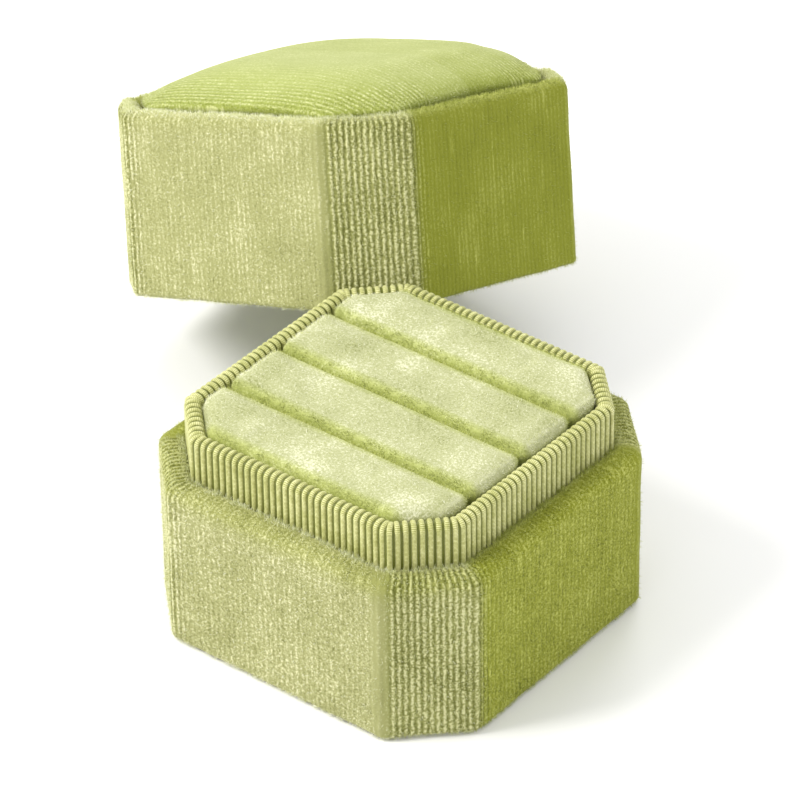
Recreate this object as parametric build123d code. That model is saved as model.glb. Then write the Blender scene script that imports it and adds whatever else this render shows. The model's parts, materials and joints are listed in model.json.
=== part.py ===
from build123d import *
from math import cos, degrees, radians, sin, sqrt
import os

os.makedirs("parts", exist_ok=True)

# The octagonal ring box: all lengths in mm, Z up, origin under the middle of the base.
# Outside
box_width = 50.0        # across the flats, base and lid alike
corner_cut = 8.4        # what each cut takes off a side at a corner
corner_round = 1.0      # softening of the upright edges by the velvet
base_height = 23.6      # floor to the shoulder the lid sits on
lid_height = 24.6       # open edge to the rim round the padded top
shoulder_round = 1.4    # velvet rolling over the outer top edge of the base

# Cloth, card and board
velvet = 0.7            # velvet with its pile
velvet_turn = 0.4       # the same velvet pressed flat where it is turned in
ribbon = 0.35           # grosgrain ribbon
board = 1.8             # greyboard of the lid
card = 0.8              # thin card behind padding
lining = 0.4            # paper-backed cloth inside the lid
felt_edge = 0.3         # felt under the base, where it covers the turned-in velvet
bottom_board = 1.6

# Collar: the inner ring the lid slides over
shoulder_width = 3.35   # from the outer face in to the ribbon
collar_rise = 6.0       # how far it stands above the shoulder
collar_board = 1.2
collar_skirt = 9.0      # how far the ribbon comes down inside
collar_soft_edge = 0.9

# Ring insert: four pads with three slots between them
slot_pitch = 10.1
slot_gap = 0.5
pad_height = 12.9
pad_proud = 0.8         # above the collar
pad_plan_round = 1.5
pad_top_round = 1.4
cover = 0.6             # velvet over a pad
platform_board = 1.5
riser_length = 30.0
riser_thickness = 2.0
riser_spacing = 22.0

# Lid
dome_rise = 5.6         # middle of the padded top above the rim
dome_flatness = 1.7     # radius of the sphere the padded top follows, over the box width
dome_edge_round = 2.0
dome_plan_round = 3.4
rim_depth = 2.7         # rim edge down to the board the dome is glued on
rim_turn = 5.0          # velvet turned up inside the open edge
ceiling_padding = 1.2

# Clearances
lid_clearance = 0.45    # lid lining to ribbon, each side
pad_clearance = 0.2     # pads to ribbon, front, back and corner cuts
pad_end_clearance = 0.8 # pads to ribbon at the ends of the slots
platform_clearance = 0.15
dome_clearance = 0.1
lean_gap = 0.7          # leaning lid to the shoulder it is propped on
lean_overlap = 1.1      # how far the propped edge reaches in over the shoulder

# Everything below follows from the sizes above
inset_to_cut = 2 - sqrt(2)
wall_board_base = shoulder_width - velvet
lid_wall = shoulder_width - lid_clearance
lid_board_inner = velvet + board
collar_inner = shoulder_width + 2 * ribbon + collar_board
board_floor = felt_edge + velvet_turn
floor_top = board_floor + bottom_board
collar_top = base_height + collar_rise
pad_top = collar_top + pad_proud
platform_top = pad_top - pad_height
platform_bottom = platform_top - platform_board
lid_top_board_top = lid_height - rim_depth
lid_top_board_bottom = lid_top_board_top - board
ceiling_card_bottom = lid_top_board_bottom - card
ceiling_foam_bottom = ceiling_card_bottom - ceiling_padding
lid_turn_inner = lid_board_inner + cover
dome_inset = lid_turn_inner + dome_clearance
dome_bottom = lid_top_board_top + card
dome_top = lid_height + dome_rise
dome_radius = dome_flatness * box_width
cut_face = (box_width - corner_cut) / sqrt(2)


def octagon(inset, rounding=0.0):
    """Square with its corners cut off, drawn in by the same amount on all eight sides."""
    half = box_width / 2 - inset
    short = half - (corner_cut - inset * inset_to_cut)
    outline = [(half, short), (short, half), (-short, half), (-half, short)]
    outline += [(-x, -y) for x, y in outline]
    face = Polygon(*outline, align=None)
    if rounding:
        face = fillet(face.vertices(), rounding)
    return face


def prism(inset, bottom, top, rounding=0.0):
    return extrude(Pos(0, 0, bottom) * octagon(inset, rounding), amount=top - bottom)


def soften(solid, end, radius):
    """Round the edges of the lowest (0) or highest (-1) faces."""
    return fillet(solid.edges().group_by(Axis.Z)[end], radius)


# ---------------------------------------------------------------- base
def make_underside_felt():
    """Thin over the turned-in velvet, full thickness against the board inside it."""
    return prism(2 * velvet, 0, felt_edge) + prism(2 * shoulder_width, felt_edge, board_floor)


def make_bottom_board():
    return prism(shoulder_width, board_floor, floor_top)


def base_wall_outside():
    block = prism(velvet, board_floor, base_height - velvet, corner_round - velvet)
    return soften(block, -1, shoulder_round - velvet)


def make_base_wall_board():
    return base_wall_outside() - prism(shoulder_width, board_floor, base_height)


def make_base_velvet():
    """Velvet up the outside, rolled over the shoulder and turned in under the base."""
    block = prism(0, felt_edge, base_height, corner_round)
    block = soften(block, -1, shoulder_round)
    block = soften(block, 0, velvet_turn)
    block -= base_wall_outside()
    block -= prism(shoulder_width, board_floor, base_height)
    return block - prism(2 * shoulder_width, felt_edge, board_floor)


def collar_core():
    """Bare board ring, its top edge eased."""
    ring = prism(shoulder_width + ribbon, floor_top, collar_top - ribbon)
    ring -= prism(collar_inner - ribbon, floor_top, collar_top)
    return soften(ring, -1, collar_soft_edge - ribbon)


def make_collar_ribbon():
    """Ribbon up the outside of the collar, over its top and down a skirt inside."""
    ring = prism(shoulder_width, floor_top, collar_top)
    ring -= prism(collar_inner, floor_top, collar_top)
    ring = soften(ring, -1, collar_soft_edge)
    ring -= collar_core()
    return ring - prism(collar_inner - ribbon, floor_top, collar_top - collar_skirt)


def make_platform():
    return prism(collar_inner - ribbon + platform_clearance, platform_bottom, platform_top)


def make_riser(side):
    height = platform_bottom - floor_top
    middle = floor_top + height / 2
    return Pos(0, side * riser_spacing / 2, middle) * Box(riser_length, riser_thickness, height)


def pad_span(number):
    """Front and back of one of the four pads, numbered from the front."""
    reach = box_width / 2 - collar_inner - pad_clearance
    front = -reach if number == 1 else (number - 3) * slot_pitch + slot_gap / 2
    back = reach if number == 4 else (number - 2) * slot_pitch - slot_gap / 2
    return front, back


def pad_block(number, shrink):
    """A pad with rounded ends and top; shrink draws every face but the bottom one in."""
    front, back = pad_span(number)
    depth = back - front - 2 * shrink
    length = box_width - 2 * (collar_inner + pad_end_clearance + shrink)
    strip = Pos(0, (front + back) / 2) * Rectangle(length, depth)
    plan = octagon(collar_inner + pad_clearance + shrink) & strip
    plan = fillet(plan.vertices(), pad_plan_round - shrink)
    block = extrude(Pos(0, 0, platform_top) * plan, amount=pad_height - shrink)
    return soften(block, -1, pad_top_round - shrink)


def make_pad_foam(number):
    return pad_block(number, cover)


def make_pad_velvet(number):
    return pad_block(number, 0.0) - pad_block(number, cover)


# ---------------------------------------------------------------- lid, built upright
def make_lid_wall_board():
    ring = prism(velvet, velvet_turn, lid_height - velvet, corner_round - velvet)
    return ring - prism(lid_board_inner, 0, lid_height)


def make_lid_velvet():
    """Velvet round the walls, over the rim at the top and turned up inside at the open edge."""
    block = prism(0, 0, lid_height, corner_round)
    block = soften(block, -1, corner_round)
    block = soften(block, 0, velvet_turn)
    block -= make_lid_wall_board()
    block -= prism(lid_wall, 0, rim_turn)
    block -= prism(lid_board_inner, rim_turn, lid_top_board_top)
    return block - prism(lid_turn_inner, lid_top_board_top, lid_height)


def make_lid_top_board():
    return prism(lid_board_inner, lid_top_board_bottom, lid_top_board_top)


def make_lid_wall_lining():
    ring = prism(lid_board_inner, rim_turn, lid_top_board_bottom)
    return ring - prism(lid_wall, 0, lid_height)


def make_dome_card():
    return prism(dome_inset, lid_top_board_top, dome_bottom)


def dome_block(shrink):
    """Padded top: an octagonal block cut by a wide sphere, its upper edge rounded."""
    block = prism(dome_inset + shrink, dome_bottom, dome_top, dome_plan_round - shrink)
    block &= Pos(0, 0, dome_top - shrink - dome_radius) * Sphere(dome_radius)
    crown = block.faces().sort_by(Axis.Z)[-1]
    return fillet(crown.edges(), dome_edge_round - shrink)


def make_dome_foam():
    return dome_block(cover)


def make_dome_velvet():
    return dome_block(0.0) - dome_block(cover)


def make_ceiling_card():
    return prism(lid_wall + dome_clearance, ceiling_card_bottom, lid_top_board_bottom)


def ceiling_block(shrink):
    inset = lid_wall + dome_clearance + shrink
    block = prism(inset, ceiling_foam_bottom - cover + shrink, ceiling_card_bottom)
    return soften(block, 0, 1.0 - shrink)


def make_ceiling_foam():
    return ceiling_block(cover)


def make_ceiling_velvet():
    return ceiling_block(0.0) - ceiling_block(cover)


# ---------------------------------------------------------------- how the lid leans
def plane_over_shoulder(lean):
    """Room between the leaning lid's open side and the rolled shoulder edge."""
    far_edge = cut_face - lean_overlap + 2 * cut_face * cos(lean)
    along = cut_face - shoulder_round - far_edge
    up = base_height - shoulder_round
    return -(along * sin(lean) + up * cos(lean)) - shoulder_round


def lean_angle():
    """Lean at which the propped edge clears the shoulder by the lean gap."""
    low = radians(1)
    high = radians(44)
    for step in range(60):
        middle = (low + high) / 2
        if plane_over_shoulder(middle) < lean_gap:
            low = middle
        else:
            high = middle
    return high


def lean_lid(part):
    """Prop the lid on the back left corner cut of the base, its far edge on the floor."""
    lean = lean_angle()
    away = cut_face - lean_overlap + cut_face * cos(lean)
    leaning = part.rotate(Axis((0, 0, 0), (1, 1, 0)), -degrees(lean))
    return Pos(-away / sqrt(2), away / sqrt(2), cut_face * sin(lean)) * leaning


nodes = {
    "underside_felt": make_underside_felt(),
    "base_bottom_board": make_bottom_board(),
    "base_wall_board": make_base_wall_board(),
    "base_velvet_wrap": make_base_velvet(),
    "collar_board": collar_core(),
    "collar_ribbon": make_collar_ribbon(),
    "insert_platform": make_platform(),
}

for number, side in enumerate((-1, 1), start=1):
    nodes[f"insert_riser_{number}"] = make_riser(side)

for number in range(1, 5):
    nodes[f"pad_foam_{number}"] = make_pad_foam(number)
    nodes[f"pad_velvet_{number}"] = make_pad_velvet(number)

lid_makers = {
    "lid_wall_board": make_lid_wall_board,
    "lid_velvet_wrap": make_lid_velvet,
    "lid_top_board": make_lid_top_board,
    "lid_wall_lining": make_lid_wall_lining,
    "lid_dome_card": make_dome_card,
    "lid_dome_foam": make_dome_foam,
    "lid_dome_velvet": make_dome_velvet,
    "lid_ceiling_card": make_ceiling_card,
    "lid_ceiling_foam": make_ceiling_foam,
    "lid_ceiling_velvet": make_ceiling_velvet,
}

for name, maker in lid_makers.items():
    nodes[name] = lean_lid(maker())

for name, solid in nodes.items():
    solid.label = name
    export_step(solid, f"parts/{name}.step")
    size = solid.bounding_box().size
    print(f"{name}: {size.X:.1f} x {size.Y:.1f} x {size.Z:.1f} mm, {solid.volume:.0f} mm3")

print(f"lid leans {degrees(lean_angle()):.2f} degrees")
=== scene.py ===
# %% [markdown]
# # A velvet ring box, open, with its lid leaning behind it
# The box is an octagon of greyboard wrapped in green velvet. A collar wrapped in
# ribbed ribbon stands up inside the base, and four velvet pads inside the collar
# hold rings in the slots between them. The lid has a padded, domed top.
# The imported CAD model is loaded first: it fixes every place and every movement.

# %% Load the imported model
import json
import math
import bmesh
import bpy
import numpy as np
from mathutils import Matrix, Vector, noise


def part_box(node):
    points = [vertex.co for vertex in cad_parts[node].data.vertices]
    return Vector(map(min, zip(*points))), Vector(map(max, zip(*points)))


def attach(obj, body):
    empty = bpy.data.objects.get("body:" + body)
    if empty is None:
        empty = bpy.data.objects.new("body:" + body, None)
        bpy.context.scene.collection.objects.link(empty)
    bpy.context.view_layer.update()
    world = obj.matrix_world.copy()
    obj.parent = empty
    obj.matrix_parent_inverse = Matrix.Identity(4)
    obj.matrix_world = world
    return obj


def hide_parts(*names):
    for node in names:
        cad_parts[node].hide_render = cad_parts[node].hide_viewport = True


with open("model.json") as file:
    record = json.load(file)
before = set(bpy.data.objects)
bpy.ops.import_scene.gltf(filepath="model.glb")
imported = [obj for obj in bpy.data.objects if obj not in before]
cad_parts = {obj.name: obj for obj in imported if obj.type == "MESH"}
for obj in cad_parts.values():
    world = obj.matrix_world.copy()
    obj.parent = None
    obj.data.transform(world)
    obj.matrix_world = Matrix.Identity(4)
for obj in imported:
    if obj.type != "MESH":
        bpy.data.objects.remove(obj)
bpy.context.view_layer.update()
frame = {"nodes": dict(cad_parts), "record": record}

MM = 0.001

# %% [markdown]
# ## Sizes
# Blender works in metres. Heights and widths come from the boxes of the CAD nodes.
# The lid leans, so its boxes say little about it: its own sizes are written here,
# measured in the lid's upright position before it is leaned.

# %% Sizes read from the frame, and the lid's own
base_low, base_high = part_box("base_velvet_wrap")
collar_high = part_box("collar_ribbon")[1]
box_half = base_high.x
shoulder_z = base_high.z
collar_top = collar_high.z
collar_inset = box_half - collar_high.x
corner_cut = 8.4 * MM
lid_height = 24.6 * MM
lid_wall = 2.9 * MM
dome_inset = 3.2 * MM
dome_foot = 22.7 * MM
ceiling_z = 19.3 * MM
ceiling_low = 17.5 * MM
top_board_middle = 21.0 * MM
wale_pitch = 0.8         # the velvet's rows, in millimetres of its cloth map
print("base", round(2 * box_half / MM, 1), "mm wide, shoulder at", round(shoulder_z / MM, 1))

# %% [markdown]
# ## Where the lid is
# The lid's top board is a flat octagonal plate. Its corners, centred, are nearly a
# plane, so the direction in which they spread least is the way up of the leaning lid.

# %% Find how the lid leans
corners = np.array([v.co for v in frame["nodes"]["lid_top_board"].data.vertices])
middle = (corners.min(0) + corners.max(0)) / 2
spread = np.linalg.svd(corners - corners.mean(0), full_matrices=False)[2]
lid_up = Vector(spread[2])
if lid_up.z < 0:
    lid_up.negate()
lid_turn = Vector((0, 0, 1)).rotation_difference(lid_up).to_matrix().to_4x4()
lid_foot = Vector(middle) - lid_up * top_board_middle
lid_place = Matrix.Translation(lid_foot) @ lid_turn
print("the lid leans", round(math.degrees(lid_up.angle(Vector((0, 0, 1)))), 2), "degrees")

# %% [markdown]
# ## Camera
# The camera looks at the front corner from a third of the way up. A long lens keeps
# the box's upright edges nearly parallel.

# %% Place the camera
def put_in_scene(name, data):
    """An object that holds the given mesh, light or camera."""
    made = bpy.data.objects.new(name, data)
    bpy.context.collection.objects.link(made)
    return made


view_turn = math.radians(38.8)
view_height = math.radians(35.06)
view_roll = math.radians(-0.82)
view_distance = 666.7 * MM
aim_up = 24.4 * MM
aim_right = -0.2 * MM


def view_axes():
    """Right, up and backward directions of the camera."""
    back = Vector((
        math.sin(view_turn) * math.cos(view_height),
        -math.cos(view_turn) * math.cos(view_height),
        math.sin(view_height),
    ))
    level = Vector((math.cos(view_turn), math.sin(view_turn), 0))
    rise = back.cross(level)
    right = level * math.cos(view_roll) + rise * math.sin(view_roll)
    return right, back.cross(right), back


def place_camera():
    right, up, back = view_axes()
    data = bpy.data.cameras.new("Camera")
    data.sensor_width = 36
    data.lens = 238.0
    data.clip_start = 0.01
    camera = put_in_scene("Camera", data)
    turn = Matrix((right, up, back)).transposed().to_4x4()
    spot = back * view_distance + up * aim_up + right * aim_right
    camera.matrix_world = Matrix.Translation(spot) @ turn
    bpy.context.scene.camera = camera
    return spot


print("camera stands at", [round(v, 3) for v in place_camera()])

# %% [markdown]
# ## Light and floor
# One large soft light from the upper left, weak ones from the right, from low on the
# left and from behind, and a bright pale room all round. The floor is a plain white sheet.

# %% Lights, room and floor
def soft_light(name, direction, distance, size, watts, tint=(1, 1, 1)):
    data = bpy.data.lights.new(name, "AREA")
    data.shape = "DISK"
    data.size = size
    data.energy = watts
    data.color = tint
    lamp = put_in_scene(name, data)
    away = Vector(direction).normalized()
    lamp.location = away * distance
    lamp.rotation_euler = away.to_track_quat("Z", "Y").to_euler()


soft_light("Key light", (-0.55, -0.62, 0.85), 0.8, 0.32, 4.9, (1.0, 0.985, 0.955))
soft_light("Right fill", (0.9, 0.1, 0.55), 0.9, 0.6, 1.2)
soft_light("Low left fill", (-1.0, -0.35, 0.22), 0.9, 0.5, 1.2)
soft_light("Back light", (-0.4, 0.9, 0.7), 0.9, 0.4, 2.0)

room = bpy.data.worlds.new("Room")
room.use_nodes = True
room.node_tree.nodes["Background"].inputs["Color"].default_value = (1.0, 1.0, 1.0, 1.0)
room.node_tree.nodes["Background"].inputs["Strength"].default_value = 0.88
bpy.context.scene.world = room
bpy.context.scene.view_settings.view_transform = "Standard"

floor_mesh = bpy.data.meshes.new("Floor")
reach = 3.0
floor_mesh.from_pydata(
    [(-reach, -reach, 0), (reach, -reach, 0), (reach, reach, 0), (-reach, reach, 0)],
    [], [(0, 1, 2, 3)],
)
floor = put_in_scene("Floor", floor_mesh)
floor_finish = bpy.data.materials.new("White sheet")
floor_finish.use_nodes = True
floor_shader = floor_finish.node_tree.nodes["Principled BSDF"]
floor_shader.inputs["Base Color"].default_value = (0.93, 0.93, 0.93, 1)
floor_shader.inputs["Roughness"].default_value = 0.9
floor_mesh.materials.append(floor_finish)
print("floor and", len(bpy.data.lights), "lights placed")

# %% [markdown]
# ## Colours
# Colours are easier to name as screen values from 0 to 255. Shaders want linear light,
# so one small function turns the first into the second.

# %% From screen colours to linear light
def colour(red, green, blue):
    linear = []
    for value in (red, green, blue):
        value /= 255
        linear.append(value / 12.92 if value <= 0.04045 else ((value + 0.055) / 1.055) ** 2.4)
    return (*linear, 1.0)


# %% [markdown]
# ## Building node trees
# Materials and node groups are wired in code. These helpers add a node, set its
# values and join sockets, so each tree below reads as a short list.

# %% Helpers for wiring
class Wires:
    """A node tree with short ways to add and join nodes."""

    def __init__(self, tree):
        self.tree = tree

    def add(self, kind, **settings):
        node = self.tree.nodes.new(kind)
        for name, value in settings.items():
            setattr(node, name, value)
        return node

    def join(self, start, end):
        self.tree.links.new(start, end)

    def make(self, kind, inputs, **settings):
        """Add a node and give its inputs: each is a plain value or another node's output."""
        node = self.add(kind, **settings)
        for name, value in inputs.items():
            if isinstance(value, bpy.types.NodeSocket):
                self.join(value, node.inputs[name])
            else:
                node.inputs[name].default_value = value
        return node

    def math(self, operation, first, second=0.0, clamp=False):
        inputs = {0: first, 1: second}
        return self.make("ShaderNodeMath", inputs, operation=operation, use_clamp=clamp).outputs[0]

    def add_up(self, first, second, clamp=False):
        return self.math("ADD", first, second, clamp)

    def times(self, first, second):
        return self.math("MULTIPLY", first, second)

    def fit(self, value, low, high, to_low=0.0, to_high=1.0):
        """Stretch a value from one range to another, smoothly and without overshoot."""
        inputs = {"Value": value, "From Min": low, "From Max": high, "To Min": to_low, "To Max": to_high}
        return self.make("ShaderNodeMapRange", inputs, interpolation_type="SMOOTHSTEP").outputs["Result"]

    def noise(self, vector, scale, detail=2.0, roughness=0.5):
        inputs = {"Vector": vector, "Scale": scale, "Detail": detail, "Roughness": roughness}
        return self.make("ShaderNodeTexNoise", inputs).outputs["Fac"]

    def stretch(self, vector, scale):
        return self.make("ShaderNodeMapping", {"Vector": vector, "Scale": scale}).outputs["Vector"]

    def mix(self, factor, first, second):
        inputs = {"Factor": factor, 6: first, 7: second}
        return self.make("ShaderNodeMix", inputs, data_type="RGBA").outputs[2]

    def mesh_value(self, name):
        """A number stored on the mesh."""
        return self.add("ShaderNodeAttribute", attribute_name=name).outputs["Fac"]

    def place(self):
        return self.add("ShaderNodeTexCoord").outputs["Object"]

    def bump(self, shader, height, strength, distance):
        inputs = {"Height": height, "Strength": strength, "Distance": distance}
        self.join(self.make("ShaderNodeBump", inputs).outputs["Normal"], shader.inputs["Normal"])


def new_group(name, inputs, outputs):
    """A shader node group with named sockets: (name, kind, value) and (name, kind)."""
    tree = bpy.data.node_groups.new(name, "ShaderNodeTree")
    for label, kind, value in inputs:
        socket = tree.interface.new_socket(label, in_out="INPUT", socket_type=kind)
        if value is not None:
            socket.default_value = value
    for label, kind in outputs:
        tree.interface.new_socket(label, in_out="OUTPUT", socket_type=kind)
    return Wires(tree), tree.nodes.new("NodeGroupInput"), tree.nodes.new("NodeGroupOutput")


# %% [markdown]
# ## Pile: what makes velvet look like velvet
# Velvet is a ground cloth covered in short upright fibres. Where tufts lean together
# there are pale flecks, and between them the eye sees down into darker pile. Brushing
# leaves larger soft patches and upright streaks. The group puts out a shade from deep (0)
# to tip (1), a height for the bump, and sparse flecks, all from noise at those sizes.

# %% The pile group
FLOAT = "NodeSocketFloat"
VECTOR = "NodeSocketVector"


def make_pile_group():
    wires, given, out = new_group(
        "Velvet pile",
        [("Place", VECTOR, None), ("Cloth", VECTOR, None), ("Tuft Size", FLOAT, 0.3 * MM),
         ("Patch Size", FLOAT, 7 * MM), ("Tufts", FLOAT, 1.6), ("Brush", FLOAT, 0.25)],
        [("Shade", FLOAT), ("Height", FLOAT), ("Flecks", FLOAT)],
    )
    place, brush = given.outputs["Place"], given.outputs["Brush"]
    tuft_scale = wires.math("DIVIDE", 1.0, given.outputs["Tuft Size"])
    patch_scale = wires.math("DIVIDE", 1.0, given.outputs["Patch Size"])
    tufts = wires.noise(place, tuft_scale, 3.0, 0.62)
    specks = wires.noise(place, wires.times(tuft_scale, 1.3), 1.0)
    patches = wires.noise(place, patch_scale)
    streaks = wires.noise(wires.stretch(given.outputs["Cloth"], (1.1, 0.12, 1.0)), 1.0, 3.0)
    marks = wires.times(wires.fit(streaks, 0.6, 0.8, 0.0, 0.45), brush)
    shade = wires.add_up(0.5, marks)
    swings = ((tufts, given.outputs["Tufts"]), (patches, brush), (streaks, wires.times(brush, 0.7)))
    for value, strength in swings:
        swing = wires.times(wires.math("SUBTRACT", value, 0.5), strength)
        shade = wires.add_up(swing, shade)
    wires.join(shade, out.inputs["Shade"])
    wires.join(tufts, out.inputs["Height"])
    wires.join(wires.fit(specks, 0.64, 0.72), out.inputs["Flecks"])
    return wires.tree


# %% [markdown]
# ## Wales: the rows the pile is woven in
# Where velvet is pulled tight over a corner its rows open up and show as upright
# cords, each a little twisted. The rows follow the cloth, so they are drawn in the
# piece's own cloth map, measured in millimetres: across the rows, then along them.

# %% The wale group
def make_wale_group():
    wires, given, out = new_group(
        "Velvet wales",
        [("Cloth", VECTOR, None), ("Pitch", FLOAT, 0.8), ("Twist", FLOAT, 0.5)],
        [("Row", FLOAT), ("Knots", FLOAT)],
    )
    wander = wires.noise(wires.stretch(given.outputs["Cloth"], (1.3, 0.9, 1.0)), 1.0, 2.0)
    split = wires.add("ShaderNodeSeparateXYZ")
    wires.join(given.outputs["Cloth"], split.inputs[0])
    drift = wires.times(wires.math("SUBTRACT", wander, 0.5), given.outputs["Twist"])
    across = wires.add_up(split.outputs["X"], drift)
    turns = wires.math("DIVIDE", across, given.outputs["Pitch"])
    wave = wires.math("COSINE", wires.times(turns, 2 * math.pi))
    row = wires.add_up(wires.times(wave, 0.5), 0.5)
    knots = wires.noise(wires.stretch(given.outputs["Cloth"], (2.2, 2.6, 1.0)), 1.0, 3.0, 0.65)
    wires.join(row, out.inputs["Row"])
    wires.join(wires.fit(knots, 0.38, 0.62), out.inputs["Knots"])
    return wires.tree


pile_group = make_pile_group()
wale_group = make_wale_group()
print("node groups:", [g.name for g in bpy.data.node_groups])

# %% [markdown]
# ## The velvets
# Three colours follow the pile: deep between the tufts, the cloth's own green, and the
# pale tips. Sheen gives velvet its light edges, because fibres seen from the side
# catch more light than fibres seen end on. Four attributes of the mesh steer the colour.
# The first goes from the deep colours (0) to the pale ones (1). It is partly the nap of the
# cloth and partly painted light and shade: pale on the -Y sides, which face the key light,
# deep on the +X sides, which are turned away from it, deep in the pads' slots and where the
# dome sinks into the rim. "cut" is 1 where the cloth is stretched over a corner and its wales
# show, "calm" is 1 where the pile is so even that no flecks stand out, and the last is a
# painted highlight that pales the cloth on rims and along slot edges.

# %% Make a velvet
def new_material(name):
    material = bpy.data.materials.new(name)
    material.use_nodes = True
    return material, Wires(material.node_tree), material.node_tree.nodes["Principled BSDF"]


def set_inputs(node, **values):
    for name, value in values.items():
        node.inputs[name.replace("_", " ")].default_value = value


def place_group(wires, group, **values):
    node = wires.add("ShaderNodeGroup", node_tree=group)
    set_inputs(node, **values)
    return node


def make_velvet(name, pale, deep, sheen, wales, tuft=0.3 * MM, tufts=1.6, brush=0.25, flecks=0.7):
    """pale and deep are each three colours: between the tufts, the cloth, the tips."""
    material, wires, shader = new_material(name)
    place = wires.place()
    cloth = wires.add("ShaderNodeUVMap", uv_map="cloth").outputs[0]
    calm = wires.mesh_value("calm")
    lively = wires.math("SUBTRACT", 1.0, calm)
    pile = place_group(wires, pile_group, Tuft_Size=tuft, Brush=brush)
    wires.join(place, pile.inputs["Place"])
    wires.join(cloth, pile.inputs["Cloth"])
    wires.join(wires.times(lively, tufts), pile.inputs["Tufts"])
    shade = pile.outputs["Shade"]
    height = pile.outputs["Height"]
    if wales:
        rows = place_group(wires, wale_group, Pitch=wales)
        wires.join(cloth, rows.inputs["Cloth"])
        cut = wires.mesh_value("cut")
        knotted = wires.add_up(wires.times(rows.outputs["Knots"], 0.8), 0.35)
        lift = wires.times(rows.outputs["Row"], knotted)
        swing = wires.math("SUBTRACT", lift, 0.36)
        swing = wires.times(swing, wires.add_up(wires.times(cut, 0.75), 0.22))
        shade = wires.add_up(shade, wires.times(swing, 0.8))
        height = wires.add_up(height, wires.times(swing, 1.6))
    # A deep and a pale copy of the ramp, mixed by the pale-to-deep attribute: partly the nap, partly
    # painted light and shade.
    ramps = []
    for tones in (deep, pale):
        low = wires.mix(wires.fit(shade, 0.05, 0.5), tones[0], tones[1])
        ramps.append(wires.mix(wires.fit(shade, 0.5, 0.95), low, tones[2]))
    lay = wires.mesh_value("lay")
    tone = wires.mix(lay, ramps[0], ramps[1])
    # A painted highlight on rims and slot edges pales the cloth towards the tip colour, as the flecks do.
    worn = wires.mesh_value("worn")
    bright = wires.times(wires.times(pile.outputs["Flecks"], lively), flecks)
    bright = wires.add_up(bright, wires.times(worn, 0.5), clamp=True)
    tip = wires.mix(lay, deep[2], pale[2])
    wires.join(wires.mix(bright, tone, tip), shader.inputs["Base Color"])
    wires.bump(shader, height, 0.6, 0.14 * MM)
    set_inputs(shader, Roughness=0.85, Specular_IOR_Level=0.12, Sheen_Weight=sheen,
               Sheen_Roughness=0.4, Sheen_Tint=colour(246, 246, 214))
    return material


outer_velvet = make_velvet(
    "Green velvet",
    pale=(colour(112, 114, 64), colour(155, 156, 104), colour(222, 220, 178)),
    deep=(colour(84, 90, 12), colour(132, 138, 42), colour(184, 188, 98)),
    sheen=0.22, wales=wale_pitch, brush=0.4,
)
dome_velvet = make_velvet(
    "Dome velvet",
    pale=(colour(124, 134, 54), colour(162, 170, 100), colour(213, 216, 164)),
    deep=(colour(98, 108, 30), colour(143, 153, 62), colour(192, 198, 120)),
    sheen=0.25, wales=0.75, tuft=0.26 * MM, tufts=1.0, flecks=0.4,
)
pad_velvet = make_velvet(
    "Pad velvet",
    pale=(colour(132, 137, 82), colour(175, 178, 132), colour(228, 228, 197)),
    deep=(colour(120, 130, 44), colour(160, 168, 88), colour(208, 212, 152)),
    sheen=0.3, wales=None, tuft=0.28 * MM, tufts=1.3, brush=0.8, flecks=0.6,
)
print("velvets made")

# %% [markdown]
# ## Pile standing up along the edges
# Along a rim, a fold or a slot the fibres stand away from the surface and catch the
# light, so there they are real geometry: thin three-sided spikes scattered by a
# Geometry Nodes tree, thickest where a mask on the mesh is 1 and gathered in
# clumps, as pile is where it has been handled. Each fibre keeps the cloth's pale-to-deep
# value at its foot, so it is pale or deep like the cloth it grows from, and carries the
# same painted light and shade.

# %% The fibre material and the fibre tree
def make_fibre_material():
    material, wires, shader = new_material("Pile fibres")
    place = wires.place()
    grain = wires.noise(place, 1 / (0.4 * MM), 2.0)
    pale = wires.mix(wires.fit(grain, 0.35, 0.65), colour(206, 210, 146), colour(252, 252, 232))
    deep = wires.mix(wires.fit(grain, 0.35, 0.65), colour(142, 150, 52), colour(198, 203, 116))
    # Fibres take the cloth's pale-to-deep value: partly the nap, partly painted light and shade.
    lay = wires.mesh_value("lay")
    wires.join(wires.mix(lay, deep, pale), shader.inputs["Base Color"])
    set_inputs(shader, Roughness=0.6, Specular_IOR_Level=0.3, Sheen_Weight=0.3,
               Sheen_Tint=colour(250, 252, 225))
    return material


fibre_material = make_fibre_material()


def new_tree(name, inputs):
    """A Geometry Nodes tree with a mesh going in and out and named sizes."""
    tree = bpy.data.node_groups.new(name, "GeometryNodeTree")
    tree.interface.new_socket("Geometry", in_out="INPUT", socket_type="NodeSocketGeometry")
    for label, kind, value in inputs:
        socket = tree.interface.new_socket(label, in_out="INPUT", socket_type=kind)
        if value is not None:
            socket.default_value = value
    tree.interface.new_socket("Geometry", in_out="OUTPUT", socket_type="NodeSocketGeometry")
    return Wires(tree), tree.nodes.new("NodeGroupInput"), tree.nodes.new("NodeGroupOutput")


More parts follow.
